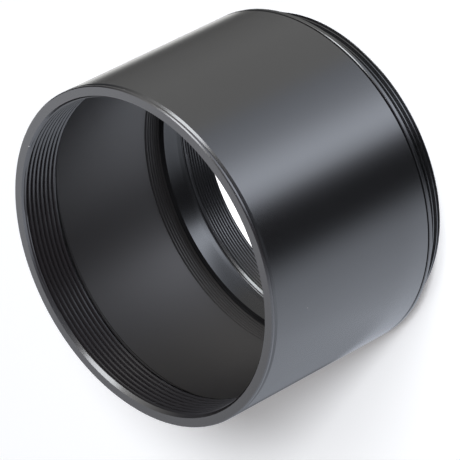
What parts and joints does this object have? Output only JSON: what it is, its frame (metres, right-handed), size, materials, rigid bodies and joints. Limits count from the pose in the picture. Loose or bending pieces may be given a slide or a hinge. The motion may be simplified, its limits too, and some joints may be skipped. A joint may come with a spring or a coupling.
{
  "type": "lens tube",
  "caption": "Open black tube for spacing lenses, with a threaded ring in each end: a female thread in the mouth and a male thread on the rear.",
  "frame": {"origin": "centre of the rear end that the tube stands on", "axes": "+Z along the tube's axis, from the male-threaded rear end to the open mouth; X and Y are any two directions across it"},
  "size_m": [0.08, 0.08, 0.0564],
  "materials": {
    "front_ring": "satin black anodised",
    "tube_body": "satin black anodised",
    "rear_ring": "satin black anodised"
  },
  "bodies": {
    "root": {"front_ring": "front_ring", "tube_body": "tube_body", "rear_ring": "rear_ring"}
  },
  "joints": []
}
